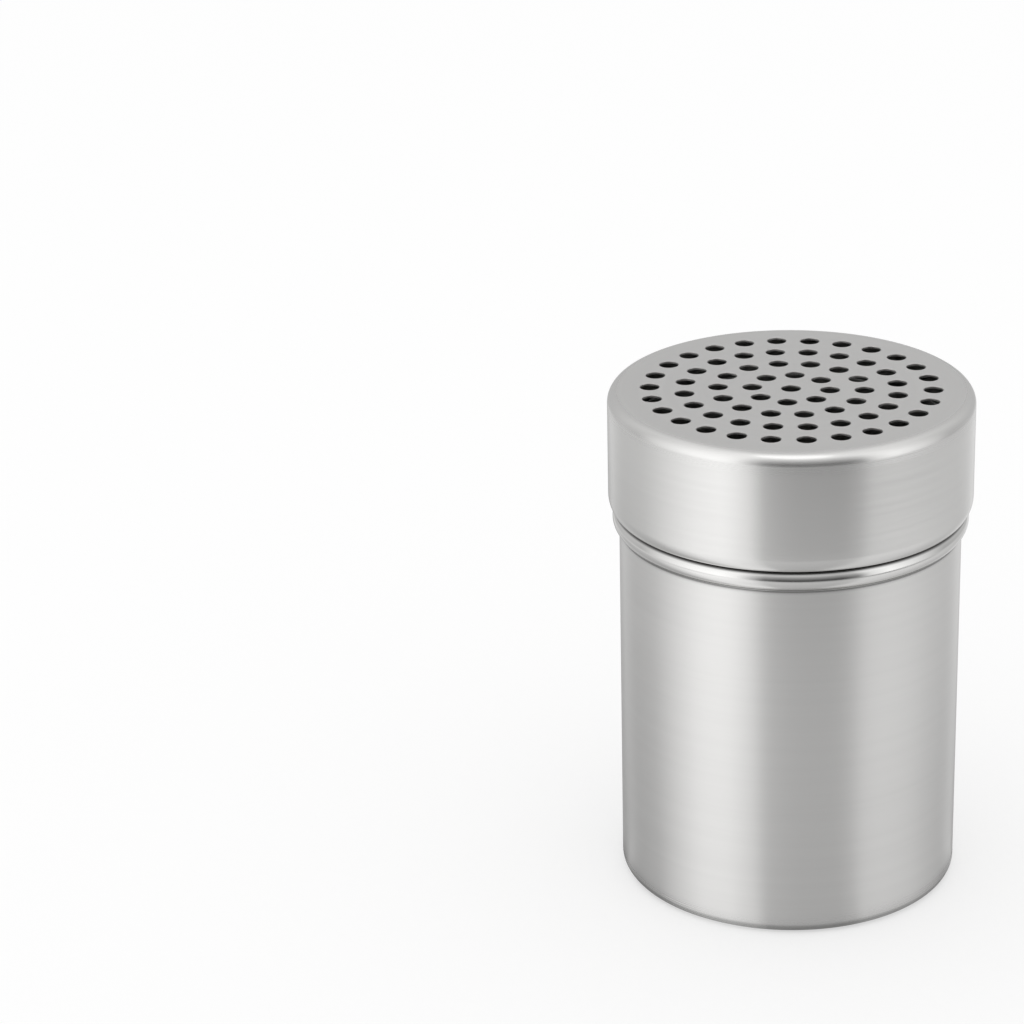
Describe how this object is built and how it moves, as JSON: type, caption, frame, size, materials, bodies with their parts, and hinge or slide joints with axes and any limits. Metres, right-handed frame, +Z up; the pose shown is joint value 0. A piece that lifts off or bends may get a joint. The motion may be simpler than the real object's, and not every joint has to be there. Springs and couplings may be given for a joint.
{
  "type": "grated cheese shaker",
  "caption": "Round stainless steel shaker for grated cheese: a straight deep-drawn cup with a stop bead, and a push-on lid with a flat perforated top.",
  "frame": {"origin": "centre of the base, on the table", "axes": "+Z up along the common axis of cup and lid, the way the lid pulls off; -Y towards the viewer of the picture, +X to the viewer's right"},
  "size_m": [0.07, 0.07, 0.0996],
  "materials": {
    "cup_steel": "satin stainless, brushed around the cup",
    "lid_steel": "satin stainless, brushed around the skirt"
  },
  "bodies": {
    "cup": {"cup_body": "cup_steel"},
    "lid": {"shaker_lid": "lid_steel"}
  },
  "joints": [
    {"name": "lid_pull", "type": "slide", "parent": "cup", "child": "lid", "axis": [0, 0, 1], "range_m": [0, 0.03]}
  ]
}
